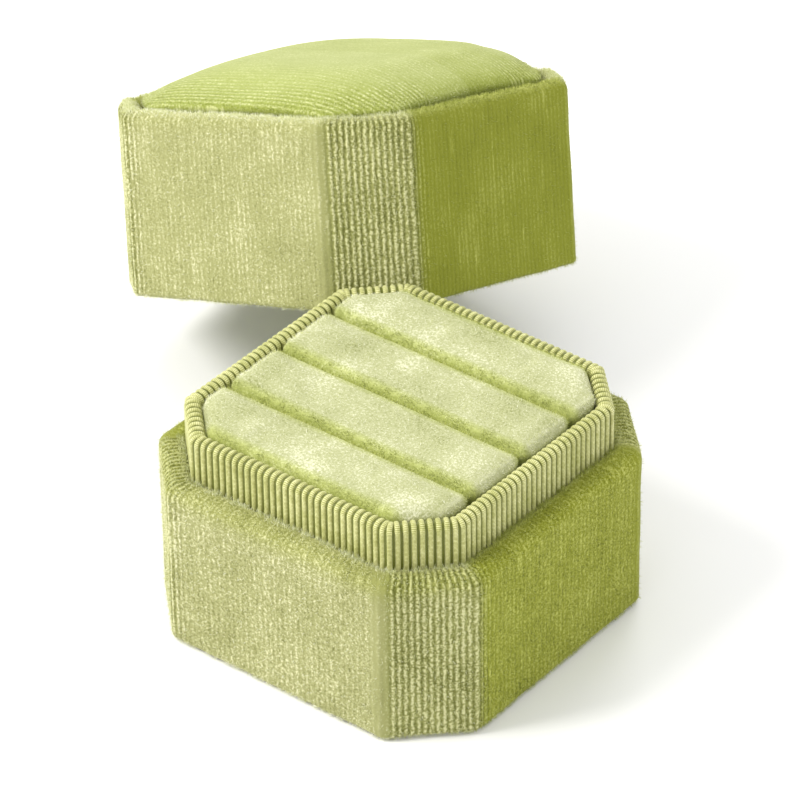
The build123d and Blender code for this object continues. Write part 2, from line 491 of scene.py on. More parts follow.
def make_fibre_tree():
    wires, given, out = new_tree("Pile fibres", [
        ("Mask", "NodeSocketString", "fuzz"), ("Density", FLOAT, 2.0e7), ("Length", FLOAT, 0.45 * MM),
        ("Thickness", FLOAT, 0.028 * MM), ("Spread", FLOAT, 0.6), ("Clump Size", FLOAT, 1.1 * MM),
        ("Seed", "NodeSocketInt", 1), ("Material", "NodeSocketMaterial", None),
    ])
    size = given.outputs
    mask = wires.make("GeometryNodeInputNamedAttribute", {"Name": size["Mask"]}, data_type="FLOAT")
    clump_scale = wires.math("DIVIDE", 1.0, size["Clump Size"])
    clumps = wires.make("ShaderNodeTexNoise", {"Detail": 2.0, "Scale": clump_scale})
    gather = wires.fit(clumps.outputs["Fac"], 0.38, 0.64, 0.25, 2.2)
    density = wires.times(wires.times(mask.outputs["Attribute"], size["Density"]), gather)
    scatter = wires.make(
        "GeometryNodeDistributePointsOnFaces",
        {"Mesh": size["Geometry"], "Density": density, "Seed": size["Seed"]},
        distribute_method="RANDOM")
    spike = wires.make("GeometryNodeMeshCone", {
        "Vertices": 3, "Radius Bottom": size["Thickness"], "Radius Top": 0.0, "Depth": size["Length"],
    }, fill_type="NONE")
    stray = wires.make(
        "FunctionNodeRandomValue", {0: (-1, -1, -1), 1: (1, 1, 1), "Seed": size["Seed"]},
        data_type="FLOAT_VECTOR")
    spread = wires.make(
        "ShaderNodeVectorMath", {0: stray.outputs[0], "Scale": size["Spread"]}, operation="SCALE")
    aim = wires.make(
        "ShaderNodeVectorMath", {0: scatter.outputs["Normal"], 1: spread.outputs[0]}, operation="ADD")
    turn = wires.make("FunctionNodeAlignRotationToVector", {"Vector": aim.outputs[0]}, axis="Z")
    growth = wires.make("FunctionNodeRandomValue", {2: 0.5, 3: 1.2}, data_type="FLOAT")
    placed = wires.make("GeometryNodeInstanceOnPoints", {
        "Points": scatter.outputs["Points"], "Instance": spike.outputs["Mesh"],
        "Rotation": turn.outputs["Rotation"], "Scale": growth.outputs[1],
    })
    real = wires.make("GeometryNodeRealizeInstances", {"Geometry": placed.outputs["Instances"]})
    coat = wires.make(
        "GeometryNodeSetMaterial", {"Geometry": real.outputs["Geometry"], "Material": size["Material"]})
    wires.join(coat.outputs["Geometry"], out.inputs["Geometry"])
    return wires.tree


fibre_tree = make_fibre_tree()


def run_tree(name, source, tree, values):
    """Run a Geometry Nodes tree on a mesh object and keep the result as a plain mesh."""
    modifier = source.modifiers.new(tree.name, "NODES")
    modifier.node_group = tree
    for item in tree.interface.items_tree:
        if item.in_out == "INPUT" and item.name in values:
            modifier[item.identifier] = values[item.name]
    bpy.context.view_layer.update()
    graph = bpy.context.evaluated_depsgraph_get()
    mesh = bpy.data.meshes.new_from_object(source.evaluated_get(graph), depsgraph=graph)
    source.modifiers.remove(modifier)
    piece = put_in_scene(name, mesh)
    mesh.name = name
    return piece


def grow_pile(name, sources, body, seed, density=60.0, length=0.45 * MM, thickness=0.03 * MM,
              spread=0.6, mask="fuzz"):
    """Fibres for one or more pieces of one body; density is fibres per square millimetre."""
    tufts = []
    for number, source in enumerate(sources):
        tufts.append(run_tree(f"{name}_{number}", source, fibre_tree, {
            "Mask": mask, "Density": density / MM ** 2, "Length": length, "Thickness": thickness,
            "Spread": spread, "Seed": seed + number, "Material": fibre_material,
        }))
    piece = tufts[0]
    if len(tufts) > 1:
        with bpy.context.temp_override(active_object=piece, selected_editable_objects=tufts):
            bpy.ops.object.join()
    piece.name = name
    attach(piece, body)
    print(name, len(piece.data.polygons), "faces")
    return piece


# %% [markdown]
# ## The octagon
# Every wrapped wall follows the same outline: a square with its corners cut off, its
# turns slightly rounded. The outline can be drawn in by any amount, always with the same
# number of points, so that outlines at different heights join into a skin.

# %% Points round the octagon
def side_normal(side):
    angle = math.radians(45 * side)
    return np.array((math.cos(angle), math.sin(angle)))


side_reach = (box_half, (2 * box_half - corner_cut) / math.sqrt(2))    # middle to a flat, to a cut


def octagon_corner(side, inset):
    """Where a side meets the next one, the outline being drawn in by inset."""
    first = side_reach[side % 2] - inset
    second = side_reach[(side + 1) % 2] - inset
    a = math.radians(45 * side)
    b = math.radians(45 * (side + 1))
    x = first * math.sin(b) - second * math.sin(a)
    y = second * math.cos(a) - first * math.cos(b)
    return np.array((x, y)) / math.sin(b - a)


def plain_octagon(inset):
    return [octagon_corner(side, inset) for side in range(8)]


def outline(inset, radius, on_flat, on_cut, on_turn):
    """The octagon with its turns rounded; the last three are how many points each part gets."""
    points = []
    for side in range(8):
        before = octagon_corner(side - 1, inset + radius)
        after = octagon_corner(side, inset + radius)
        start = before + radius * side_normal(side)
        end = after + radius * side_normal(side)
        count = on_cut if side % 2 else on_flat
        points += [start + (end - start) * step / count for step in range(count)]
        for step in range(on_turn):
            points.append(after + radius * side_normal(side + step / on_turn))
    return np.array(points)


def outline_marks(on_flat, on_cut, on_turn):
    """For each point: which side it is on, and how far along that side, 0 to 1."""
    sides = []
    shares = []
    for side in range(8):
        count = on_cut if side % 2 else on_flat
        sides += [side] * (count + on_turn)
        shares += [step / count for step in range(count)] + [1.0] * on_turn
    return np.array(sides), np.array(shares)


# %% [markdown]
# ## Sweeping a wall
# A wrapped wall is a section carried round the octagon. The section is a closed loop of
# (how far in, how high, radius of the turns), so the wall is closed and has thickness.
# The skin also gets its cloth map in millimetres, which the wales follow.

# %% Sweep a section round the octagon
def grid_normals(grid):
    around = np.roll(grid, -1, 1) - np.roll(grid, 1, 1)
    along = np.roll(grid, -1, 0) - np.roll(grid, 1, 0)
    normal = np.cross(around, along)
    return normal / np.maximum(np.linalg.norm(normal, axis=2, keepdims=True), 1e-12)


def sweep(name, section, counts, relief=None):
    """section: rows of (inset, height, turn radius), counter-clockwise, outside going up."""
    rings = [outline(inset, radius, *counts) for inset, height, radius in section]
    heights = np.array([row[1] for row in section])
    grid = np.zeros((len(section), len(rings[0]), 3))
    grid[:, :, :2] = np.array(rings)
    grid[:, :, 2] = heights[:, None]
    widest = max(rings, key=lambda ring: ring[:, 0].max())
    step = np.linalg.norm(np.roll(widest, -1, 0) - widest, axis=1)
    u = np.concatenate(([0], np.cumsum(step))) / MM
    flat_section = np.array([(row[0], row[1]) for row in section])
    rise = np.linalg.norm(np.roll(flat_section, -1, 0) - flat_section, axis=1)
    v = np.concatenate(([0], np.cumsum(rise))) / MM
    sides, shares = outline_marks(*counts)
    if relief is not None:
        grid = grid + grid_normals(grid) * relief(grid, u[:-1], v[:-1], sides, shares)[:, :, None]
    rows, columns = grid.shape[:2]
    index = np.arange(rows * columns).reshape(rows, columns)
    below_right = np.roll(index, -1, 1)
    above = np.roll(index, -1, 0)
    above_right = np.roll(above, -1, 1)
    faces = np.stack((index, below_right, above_right, above), axis=2).reshape(-1, 4)
    mesh = bpy.data.meshes.new(name)
    mesh.from_pydata(grid.reshape(-1, 3).tolist(), [], faces.tolist())
    uv = mesh.uv_layers.new(name="cloth")
    left, right = np.meshgrid(u[:-1], v[:-1]), np.meshgrid(u[1:], v[1:])
    corners = np.stack((
        np.stack((left[0], left[1]), 2), np.stack((right[0], left[1]), 2),
        np.stack((right[0], right[1]), 2), np.stack((left[0], right[1]), 2),
    ), axis=2)
    uv.data.foreach_set("uv", corners.reshape(-1).astype(np.float32))
    mesh.shade_smooth()
    piece = put_in_scene(name, mesh)
    print(name, len(faces), "faces, section of", rows, "rows")
    return piece, grid, sides, shares


def put_attribute(piece, name, values):
    layer = piece.data.attributes.new(name, "FLOAT", "POINT")
    layer.data.foreach_set("value", np.asarray(values, dtype=np.float32).reshape(-1))


def arc(centre, radius, start, end, steps, turn):
    """Part of a circle in the section: angles in degrees, 0 inward and 90 up."""
    rows = []
    for step in range(steps + 1):
        angle = math.radians(start + (end - start) * step / steps)
        rows.append((centre[0] + radius * math.cos(angle), centre[1] + radius * math.sin(angle), turn))
    return rows


def rise_rows(inset, low, high, step, turn):
    count = max(1, round((high - low) / step))
    return [(inset, low + (high - low) * k / count, turn) for k in range(count + 1)]


# %% [markdown]
# ## How the velvet lies on a wall
# The wrap is never perfectly flat: glue and pile leave it a little uneven, and on the
# corner cuts, where the cloth is stretched, its wales stand up as shallow cords.

# %% Relief, lay and fuzz of the wrapped walls
flat_length = 2 * (box_half - corner_cut) / MM
cut_length = math.sqrt(2) * corner_cut / MM
# Per side, from deep (0) to pale (1): partly the nap, partly painted light and shade. The -Y side (6)
# faces the key light, the +X side (0) is turned away, and the opposite sides nearly match them.
nap_and_shade_by_side = {6: 1.0, 2: 1.0, 5: 0.75, 7: 0.7, 1: 0.55, 3: 0.7, 0: 0.0, 4: 0.15}


def corner_mask(sides, shares):
    """1 on the corner cuts; the wales run on a little past the far edge of each."""
    on_cut = np.clip(shares / 0.08, 0, 1)
    run_on = 0.7 * np.clip(1 - shares / 0.07, 0, 1)
    return np.where(sides % 2 == 1, on_cut, run_on)


def soft_noise(points, size, seed):
    shift = Vector((seed * 3.7, seed * 1.9, seed * 5.3))
    flat = points.reshape(-1, 3) / size
    values = [noise.noise(Vector(p) + shift) for p in flat]
    return np.array(values).reshape(points.shape[:2])


def velvet_relief(grid, u, v, sides, shares):
    coarse = grid[::2, ::4]
    uneven = soft_noise(coarse, 5.0 * MM, 1)
    uneven = np.repeat(np.repeat(uneven, 2, 0), 4, 1)[: grid.shape[0], : grid.shape[1]]
    for turn in range(3):
        uneven = (uneven + np.roll(uneven, 1, 1) + np.roll(uneven, -1, 1)) / 3
        uneven = (uneven + np.roll(uneven, 1, 0) + np.roll(uneven, -1, 0)) / 3
    wander = 0.1 * np.sin(v / 2.9)[:, None] + 0.06 * np.sin(v / 1.1 + 1.0)[:, None]
    rows = np.cos((u[None, :] + wander) * 2 * math.pi / wale_pitch)
    mask = corner_mask(sides, shares)[None, :]
    return (0.1 * uneven + rows * (0.012 + 0.05 * mask)) * MM


def mark_velvet(piece, grid, sides, shares, fuzz, fringe, calm_sides, flat_rim):
    rows = grid.shape[0]
    calm = np.array([calm_sides.get(int(s), 0.0) for s in sides])
    side_length = np.where(sides % 2 == 1, cut_length, flat_length)
    to_turn = np.where(sides % 2 == 1, shares, 1 - shares) * side_length
    calm = np.maximum(calm, 0.8 * np.clip(1.2 - to_turn / 0.9, 0, 1))
    put_attribute(piece, "calm", np.tile(calm, (rows, 1)))
    # Pale or deep by side, partly the nap and partly painted light and shade, smoothed round the turns.
    side_nap_and_shade = np.array([nap_and_shade_by_side[s] for s in sides])
    for turn in range(10):
        side_nap_and_shade = (side_nap_and_shade + np.roll(side_nap_and_shade, 1) + np.roll(side_nap_and_shade, -1)) / 3
    heights = grid[:, 0, 2] / MM
    shoulder = np.clip((heights - heights.max() + 3.0) / 2.6, 0, 1)
    put_attribute(piece, "lay", side_nap_and_shade[None, :] * (1 - flat_rim * shoulder)[:, None])
    put_attribute(piece, "cut", np.tile(corner_mask(sides, shares), (rows, 1)))
    # The fringe mask also paints a highlight that pales the velvet on the rims.
    for name, values in (("fuzz", fuzz), ("fringe", fringe), ("worn", fringe)):
        put_attribute(piece, name, np.tile(np.asarray(values)[:, None], (1, grid.shape[1])))


# %% [markdown]
# ## Base: velvet round the walls and over the shoulder
# On the real box one strip of velvet is glued round the board walls, rolled over the
# shoulder down to the collar, and turned in under the floor. A section swept round the
# octagon gives exactly that, with the wales carried round in the cloth map.

# %% Wrap the base
def base_section():
    top = shoulder_z
    foot = base_low.z
    soft = 1.5 * MM
    rows = [(6.5 * MM, foot + 0.05 * MM, 0.1 * MM), (1.4 * MM, foot, 0.3 * MM)]
    rows += arc((0.8 * MM, foot + 0.8 * MM), 0.8 * MM, 270, 180, 5, 1.5 * MM)
    rows += rise_rows(0.0, foot + 1.2 * MM, top - soft - 0.4 * MM, 0.42 * MM, 1.8 * MM)
    rows += arc((soft, top - soft), soft, 180, 90, 7, 1.6 * MM)
    rows += [(2.1 * MM, top + 0.02 * MM, 0.9 * MM), (2.7 * MM, top - 0.03 * MM, 0.8 * MM)]
    rows += [(3.15 * MM, top - 0.25 * MM, 0.8 * MM), (3.3 * MM, top - 0.6 * MM, 0.8 * MM)]
    rows += [(3.1 * MM, top - 0.66 * MM, 0.7 * MM), (1.4 * MM, top - 0.66 * MM, 0.6 * MM)]
    rows += [(0.66 * MM, top - 1.4 * MM, 0.4 * MM), (0.66 * MM, foot + 0.35 * MM, 0.4 * MM)]
    return rows + [(6.5 * MM, foot + 0.3 * MM, 0.1 * MM)]


def edge_fuzz(section, spots, background=0.0):
    """Fuzz of each row: more near a spot (inset, height, reach, strength), a little outside."""
    values = []
    for inset, height, turn in section:
        near = background if inset < 0.3 * MM else 0.0
        for x, z, reach, strength in spots:
            gap = math.hypot(inset - x, height - z)
            near = max(near, strength * max(0.0, 1 - gap / reach))
        values.append(near)
    return values


base_rows = base_section()
wall_counts = (134, 104, 7)
base_wrap, base_grid, base_sides, base_shares = sweep("base_velvet", base_rows, wall_counts, velvet_relief)
base_fuzz = edge_fuzz(base_rows, [(0.8 * MM, shoulder_z, 1.6 * MM, 0.2),
                                  (0.2 * MM, base_low.z, 0.8 * MM, 0.5)], 0.04)
base_fringe = edge_fuzz(base_rows, [(3.15 * MM, shoulder_z, 0.9 * MM, 1.0)])
mark_velvet(base_wrap, base_grid, base_sides, base_shares, base_fuzz, base_fringe, {}, 0.4)
base_wrap.data.materials.append(outer_velvet)
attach(base_wrap, "base")
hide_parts("base_velvet_wrap")
grow_pile("base_pile", [base_wrap], "base", 11)
grow_pile("shoulder_fringe", [base_wrap], "base", 13, density=55.0, length=0.75 * MM,
          thickness=0.036 * MM, mask="fringe")

# %% [markdown]
# ## Lid: velvet round the walls and over the rim
# The same method, with the lid standing upright at the origin. The strip is turned up
# inside the open edge and down inside the rim, where the dome is glued in. The finished
# mesh is then moved by the lid's placing, so that its object stays at the origin.

# %% Wrap the lid
def lid_section():
    top = lid_height
    rows = [(2.86 * MM, 5.0 * MM, 0.3 * MM), (2.86 * MM, 0.9 * MM, 0.3 * MM)]
    rows += arc((2.3 * MM, 0.56 * MM), 0.56 * MM, 0, -90, 3, 0.4 * MM)
    rows += arc((0.65 * MM, 0.65 * MM), 0.65 * MM, 270, 180, 4, 1.5 * MM)
    rows += rise_rows(0.0, 1.0 * MM, top - 1.8 * MM, 0.42 * MM, 1.8 * MM)
    rows += arc((1.35 * MM, top - 1.35 * MM), 1.35 * MM, 180, 90, 6, 1.6 * MM)
    rows += [(1.75 * MM, top - 0.08 * MM, 1.2 * MM), (2.2 * MM, top - 0.3 * MM, 1.0 * MM)]
    rows += [(2.6 * MM, top - 0.5 * MM, 0.8 * MM), (3.0 * MM, top - 1.1 * MM, 0.8 * MM)]
    rows += [(3.05 * MM, top - 2.5 * MM, 0.8 * MM), (2.56 * MM, top - 2.5 * MM, 0.4 * MM)]
    rows += [(2.56 * MM, top - 0.68 * MM, 0.4 * MM), (0.66 * MM, top - 0.68 * MM, 0.4 * MM)]
    return rows + [(0.66 * MM, 0.36 * MM, 0.4 * MM), (2.54 * MM, 0.36 * MM, 0.3 * MM),
                   (2.54 * MM, 5.0 * MM, 0.3 * MM)]


lid_rows = lid_section()
lid_wrap, lid_grid, lid_sides, lid_shares = sweep("lid_velvet", lid_rows, wall_counts, velvet_relief)
lid_fuzz = edge_fuzz(lid_rows, [(0.5 * MM, lid_height, 1.0 * MM, 0.3),
                                (0.6 * MM, 0.0, 0.9 * MM, 0.4)], 0.03)
lid_fringe = edge_fuzz(lid_rows, [(1.3 * MM, lid_height, 1.3 * MM, 1.0)])
mark_velvet(lid_wrap, lid_grid, lid_sides, lid_shares, lid_fuzz, lid_fringe,
            {6: 0.3, 0: 0.85, 7: 0.1}, 0.15)
lid_wrap.data.materials.append(outer_velvet)
lid_wrap.data.transform(lid_place)
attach(lid_wrap, "lid")
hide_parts("lid_velvet_wrap")
grow_pile("lid_pile", [lid_wrap], "lid", 21, density=55.0)
grow_pile("rim_fringe", [lid_wrap], "lid", 23, density=34.0, length=0.55 * MM,
          thickness=0.034 * MM, mask="fringe")

# %% [markdown]
# ## Collar ribbon
# Grosgrain is woven over thick cords, so it is all upright ribs with tight gaps. A
# smooth dark band is swept first under the ribs: it is painted shade, the dark seen in the
# gaps between the ribs. The ribs themselves are one short rod, bent over the collar's top
# edge and repeated round the outline by a Geometry Nodes tree: the pitch is then one
# number, and each rib is real geometry.

# %% Ribbon material
def make_ribbon_material(name, low, mid, high):
    material, wires, shader = new_material(name)
    place = wires.place()
    along = wires.mesh_value("along")
    thread = wires.math("SINE", wires.times(along, 2 * math.pi / 0.2))
    thread = wires.add_up(wires.times(thread, 0.5), 0.5)
    grain = wires.noise(place, 1 / (0.5 * MM), 3.0)
    worn = wires.noise(place, 1 / (5 * MM), 2.0)
    shade = wires.add_up(wires.times(thread, 0.35), wires.times(grain, 0.45))
    shade = wires.add_up(shade, wires.times(worn, 0.3))
    base = wires.mix(wires.fit(shade, 0.25, 0.55), low, mid)
    tone = wires.mix(wires.fit(shade, 0.55, 0.85), base, high)
    wires.join(tone, shader.inputs["Base Color"])
    wires.bump(shader, wires.add_up(thread, wires.times(grain, 0.5)), 0.55, 0.05 * MM)
    set_inputs(shader, Roughness=0.5, Specular_IOR_Level=0.35, Sheen_Weight=0.25,
               Sheen_Tint=colour(245, 250, 200))
    return material


rib_material = make_ribbon_material(
    "Grosgrain ribs", colour(140, 144, 66), colour(182, 183, 112), colour(236, 234, 182))
# The same ribbon in dark tones, laid only under the ribs: painted shade for the gaps between them.
groove_shade_material = make_ribbon_material(
    "Grosgrain ground", colour(72, 78, 16), colour(94, 100, 28), colour(116, 122, 44))

# %% [markdown]
# The rib tree turns the collar's outline into evenly spaced points, faces each one
# outwards, and puts a bent rod on it. The rod's centre line is a second input object,
# because its bend has to match the collar's section.

# %% Rib tree
OBJECT = "NodeSocketObject"


def make_rib_tree():
    wires, given, out = new_tree("Ribbon ribs", [
        ("Rib Line", OBJECT, None), ("Pitch", FLOAT, 1.0 * MM), ("Rib Width", FLOAT, 0.9 * MM),
        ("Rib Height", FLOAT, 0.5 * MM), ("Material", "NodeSocketMaterial", None),
    ])
    size = given.outputs
    path = wires.make("GeometryNodeMeshToCurve", {"Mesh": size["Geometry"]})
    spaced = wires.make(
        "GeometryNodeResampleCurve", {"Curve": path.outputs["Curve"], "Length": size["Pitch"]},
        mode="LENGTH")
    tangent = wires.add("GeometryNodeInputTangent")
    across = wires.make(
        "ShaderNodeVectorMath", {0: tangent.outputs[0], 1: (0, 0, 1)}, operation="CROSS_PRODUCT")
    upright = wires.make(
        "FunctionNodeAxesToRotation", {0: (0, 0, 1), 1: across.outputs[0]},
        primary_axis="Z", secondary_axis="X")
    line = wires.make("GeometryNodeObjectInfo", {"Object": size["Rib Line"]})
    rod_line = wires.make("GeometryNodeMeshToCurve", {"Mesh": line.outputs["Geometry"]})
    length = wires.add("GeometryNodeSplineParameter")
    note = wires.make("GeometryNodeStoreNamedAttribute", {
        "Name": "along", "Geometry": rod_line.outputs["Curve"],
        "Value": wires.times(length.outputs["Length"], 1 / MM),
    }, data_type="FLOAT", domain="POINT")
    ring = wires.make(
        "GeometryNodeCurvePrimitiveCircle", {"Resolution": 8, "Radius": 0.5}, mode="RADIUS")
    scale = wires.make("ShaderNodeCombineXYZ", {"X": size["Rib Width"], "Y": size["Rib Height"], "Z": 1.0})
    flatten = wires.make(
        "GeometryNodeTransform", {"Geometry": ring.outputs["Curve"], "Scale": scale.outputs[0]})
    rod = wires.make("GeometryNodeCurveToMesh", {
        "Fill Caps": True, "Curve": note.outputs["Geometry"], "Profile Curve": flatten.outputs["Geometry"],
    })
    placed = wires.make("GeometryNodeInstanceOnPoints", {
        "Points": spaced.outputs["Curve"], "Instance": rod.outputs["Mesh"], "Rotation": upright.outputs[0],
    })
    real = wires.make("GeometryNodeRealizeInstances", {"Geometry": placed.outputs["Instances"]})
    smooth = wires.make("GeometryNodeSetShadeSmooth", {"Geometry": real.outputs["Geometry"]})
    coat = wires.make(
        "GeometryNodeSetMaterial", {"Geometry": smooth.outputs["Geometry"], "Material": size["Material"]})
    wires.join(coat.outputs["Geometry"], out.inputs["Geometry"])
    return wires.tree


# %% Wrap the collar
def collar_section():
    low = shoulder_z - 2.0 * MM
    outer = collar_inset + 0.12 * MM
    inner = collar_inset + 1.78 * MM
    bend = 0.7 * MM
    rows = rise_rows(outer, low, collar_top - 1.0 * MM, 0.8 * MM, 0.7 * MM)
    rows += arc((outer + bend, collar_top - 0.12 * MM - bend), bend, 180, 90, 6, 0.7 * MM)
    rows += arc((inner - bend, collar_top - 0.12 * MM - bend), bend, 90, 0, 6, 0.5 * MM)
    rows += rise_rows(inner, collar_top - 9.0 * MM, collar_top - 1.0 * MM, 1.0 * MM, 0.4 * MM)[::-1]
    back = [(inner - 0.25 * MM, collar_top - 9.0 * MM, 0.4 * MM)]
    back += [(inner - 0.25 * MM, collar_top - 0.5 * MM, 0.4 * MM)]
    back += [(outer + 0.2 * MM, collar_top - 0.5 * MM, 0.5 * MM), (outer + 0.2 * MM, low, 0.5 * MM)]
    return rows, back


def line_object(name, points, closed=False):
    mesh = bpy.data.meshes.new(name)
    count = len(points)
    edges = [(k, k + 1) for k in range(count - 1)] + ([(count - 1, 0)] if closed else [])
    mesh.from_pydata([tuple(p) for p in points], edges, [])
    made = put_in_scene(name, mesh)
    return made


shown_rows, hidden_rows = collar_section()
# A dark band under the ribs, painted shade seen in the gaps between them.
groove_shade = sweep("collar_ribbon_ground", shown_rows + hidden_rows, (24, 10, 5))[0]
put_attribute(groove_shade, "along", np.zeros(len(groove_shade.data.vertices)))
groove_shade.data.materials.append(groove_shade_material)
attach(groove_shade, "base")

rib_inset = shown_rows[0][0]
rib_line = line_object("rib line", [(rib_inset - x, 0.0, z) for x, z, turn in shown_rows])
collar_line = outline(rib_inset, 0.7 * MM, 24, 10, 6)
collar_path = line_object("collar path", [(x, y, 0.0) for x, y in collar_line], closed=True)
around = np.linalg.norm(np.roll(collar_line, -1, 0) - collar_line, axis=1).sum()
rib_count = round(around / (1.0 * MM))
ribs = run_tree("collar_ribbon_ribs", collar_path, make_rib_tree(), {
    "Rib Line": rib_line, "Pitch": around / rib_count, "Rib Width": 0.5 * MM,
    "Rib Height": 0.68 * MM, "Material": rib_material,
})
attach(ribs, "base")
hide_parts("collar_ribbon")
for helper in (rib_line, collar_path):
    bpy.data.objects.remove(helper)
print(rib_count, "ribs,", len(ribs.data.polygons), "faces")

# %% [markdown]
# ## Padded pieces
# Each pad is foam under velvet. A plain block is cut to the pad's plan, its edges are
# bevelled, and it is turned into an even skin of small squares. Blender's Cloth then
# blows it up a little with inner pressure, as a filled cover swells. The simulation runs
# at 25 times the real size, where its settings were made to work, and is scaled back.
# How far any point may move is limited, so that neighbours never meet.

# %% Swell a cushion
sim_scale = 25.0


def read_points(mesh):
    values = np.zeros(len(mesh.vertices) * 3)
    mesh.vertices.foreach_get("co", values)
    return values.reshape(-1, 3)


def write_points(mesh, points):
    mesh.vertices.foreach_set("co", np.asarray(points, dtype=np.float32).reshape(-1))
    mesh.update()


def baked(piece):
    """The mesh of an object with its modifiers applied."""
    bpy.context.view_layer.update()
    graph = bpy.context.evaluated_depsgraph_get()
    mesh = bpy.data.meshes.new_from_object(piece.evaluated_get(graph), depsgraph=graph)
    old = piece.data
    piece.modifiers.clear()
    piece.data = mesh
    bpy.data.meshes.remove(old)
    return mesh


def swell(piece, voxel, limit, pressure=4.0, frames=20):
    piece.data.transform(Matrix.Scale(sim_scale, 4))
    skin = piece.modifiers.new("Even skin", "REMESH")
    skin.mode = "VOXEL"
    skin.voxel_size = voxel * sim_scale
    baked(piece)
    start = read_points(piece.data)
    cloth = piece.modifiers.new("Filling", "CLOTH")
    cloth.settings.use_pressure = True
    cloth.settings.uniform_pressure_force = pressure
    cloth.settings.effector_weights.gravity = 0.0
    cloth.point_cache.frame_start = 1
    cloth.point_cache.frame_end = frames
    for moment in range(1, frames + 1):
        bpy.context.scene.frame_set(moment)
    graph = bpy.context.evaluated_depsgraph_get()
    end = read_points(piece.evaluated_get(graph).data)
    piece.modifiers.clear()
    bpy.context.scene.frame_set(1)
    move = end - start
    far = np.linalg.norm(move, axis=1, keepdims=True)
    move *= np.minimum(1.0, limit * sim_scale / np.maximum(far, 1e-9))
    write_points(piece.data, start + move)
    print(piece.name, "swelled", round(float(far.max()) / sim_scale / MM, 2), "mm before the limit")
    finer = piece.modifiers.new("Finer", "SUBSURF")
    finer.levels = 1
    finer.render_levels = 1
    baked(piece)
    piece.data.transform(Matrix.Scale(1 / sim_scale, 4))
    piece.data.shade_smooth()
    return piece


# %% [markdown]
# ## Pads of the ring insert
# Four pads stand side by side with a slot between each two. The outer two follow the
# corner cuts. Their plan is the collar's inside, clipped to the strip each pad fills.

# %% Make the four pads
def clip(points, axis, limit, keep_above):
    """Cut a convex outline along one line (one step of polygon clipping)."""
    kept = []
    for index, here in enumerate(points):
        before = points[index - 1]
        here_in = (here[axis] >= limit) == keep_above
        before_in = (before[axis] >= limit) == keep_above
        if here_in != before_in:
            share = (limit - before[axis]) / (here[axis] - before[axis])
            kept.append(before + (here - before) * share)
        if here_in:
            kept.append(here)
    return kept


def block(name, plan, low, high, top_bevel, side_bevel):
    shape = bmesh.new()
    floor_points = [shape.verts.new((p[0], p[1], low)) for p in plan]
    bottom = shape.faces.new(floor_points)
    grown = bmesh.ops.extrude_face_region(shape, geom=[bottom])["geom"]
    for item in grown:
        if isinstance(item, bmesh.types.BMVert):
            item.co.z = high
    bmesh.ops.recalc_face_normals(shape, faces=shape.faces)
    upright = [e for e in shape.edges if abs(e.verts[0].co.z - e.verts[1].co.z) > 1e-6]
    bmesh.ops.bevel(shape, geom=upright, offset=side_bevel, segments=3, profile=0.5, affect="EDGES")
    rim = [e for e in shape.edges if min(v.co.z for v in e.verts) > high - 1e-6]
    bmesh.ops.bevel(shape, geom=rim, offset=top_bevel, segments=3, profile=0.5, affect="EDGES")
    mesh = bpy.data.meshes.new(name)
    shape.to_mesh(mesh)
    shape.free()
    piece = put_in_scene(name, mesh)
    return piece


pads = []
pad_inset = box_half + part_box("pad_velvet_1")[0].y
shrink = 0.1 * MM
end_fill = 0.25 * MM
for number in range(1, 5):
    low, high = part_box(f"pad_velvet_{number}")
    plan = plain_octagon(pad_inset + shrink)
    for axis, inward in ((0, -end_fill), (1, shrink)):
        plan = clip(plan, axis, low[axis] + inward, True)
        plan = clip(plan, axis, high[axis] - inward, False)
    pad = block(f"pad_{number}", plan, low.z, high.z - shrink, 0.85 * MM, 0.5 * MM)
    swell(pad, 0.5 * MM, 0.2 * MM)
    points = read_points(pad.data)
    points[:, 2] = np.maximum(points[:, 2], low.z + 0.02 * MM)
    to_slot = np.minimum(np.abs(points[:, 1] - low.y), np.abs(points[:, 1] - high.y))
    on_top = np.clip((points[:, 2] - (high.z - 2.2 * MM)) / (1.2 * MM), 0, 1)
    write_points(pad.data, points)
    # Deep along the pads' long edges and down their sides, pale on the tops: painted shade in the slots
    # and in the gaps to the collar.
    put_attribute(pad, "lay", np.clip((to_slot / MM - 0.5) / 1.0, 0, 1) * on_top)
    to_end = np.abs(np.abs(points[:, 0]) - high.x)
    near_edge = np.minimum(np.abs(to_slot / MM - 0.5), np.abs(to_end / MM - 0.4))
    edge_band = np.clip(1 - near_edge / 0.6, 0, 1) * on_top
    put_attribute(pad, "fuzz", edge_band + 0.06 * on_top)
    # Painted highlight along the slot edges and pad ends.
    put_attribute(pad, "worn", 0.6 * edge_band)
    pad.data.materials.append(pad_velvet)
    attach(pad, "base")
    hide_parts(f"pad_velvet_{number}", f"pad_foam_{number}")
    pads.append(pad)
grow_pile("pad_pile", pads, "base", 31, density=32.0, length=0.4 * MM)
print("pads:", [len(p.data.polygons) for p in pads])

# %% [markdown]
# ## The padded dome
# A thin card with foam on it is covered in velvet and glued down inside the rim. The
# cover is tight at the edge and full in the middle, and near the edge the stretched
# wales show as fine lines that run along the cloth.

# %% Make the dome
def dome_height(x, y):
    """0 at the rim and 1 in the middle, fuller towards the side the foam was pushed to."""
    total = 0.0
    for side in range(8):
        normal = side_normal(side)
        reach = side_reach[side % 2] - dome_inset
        total = total + np.maximum(0, (x * normal[0] + y * normal[1]) / reach) ** 8
    edge = np.clip(total ** (1 / 8), 0, 1)
    fullness = 7.5 + 3.5 * np.clip((x + y) / (22 * MM), -1, 1)
    return 1 - edge ** fullness


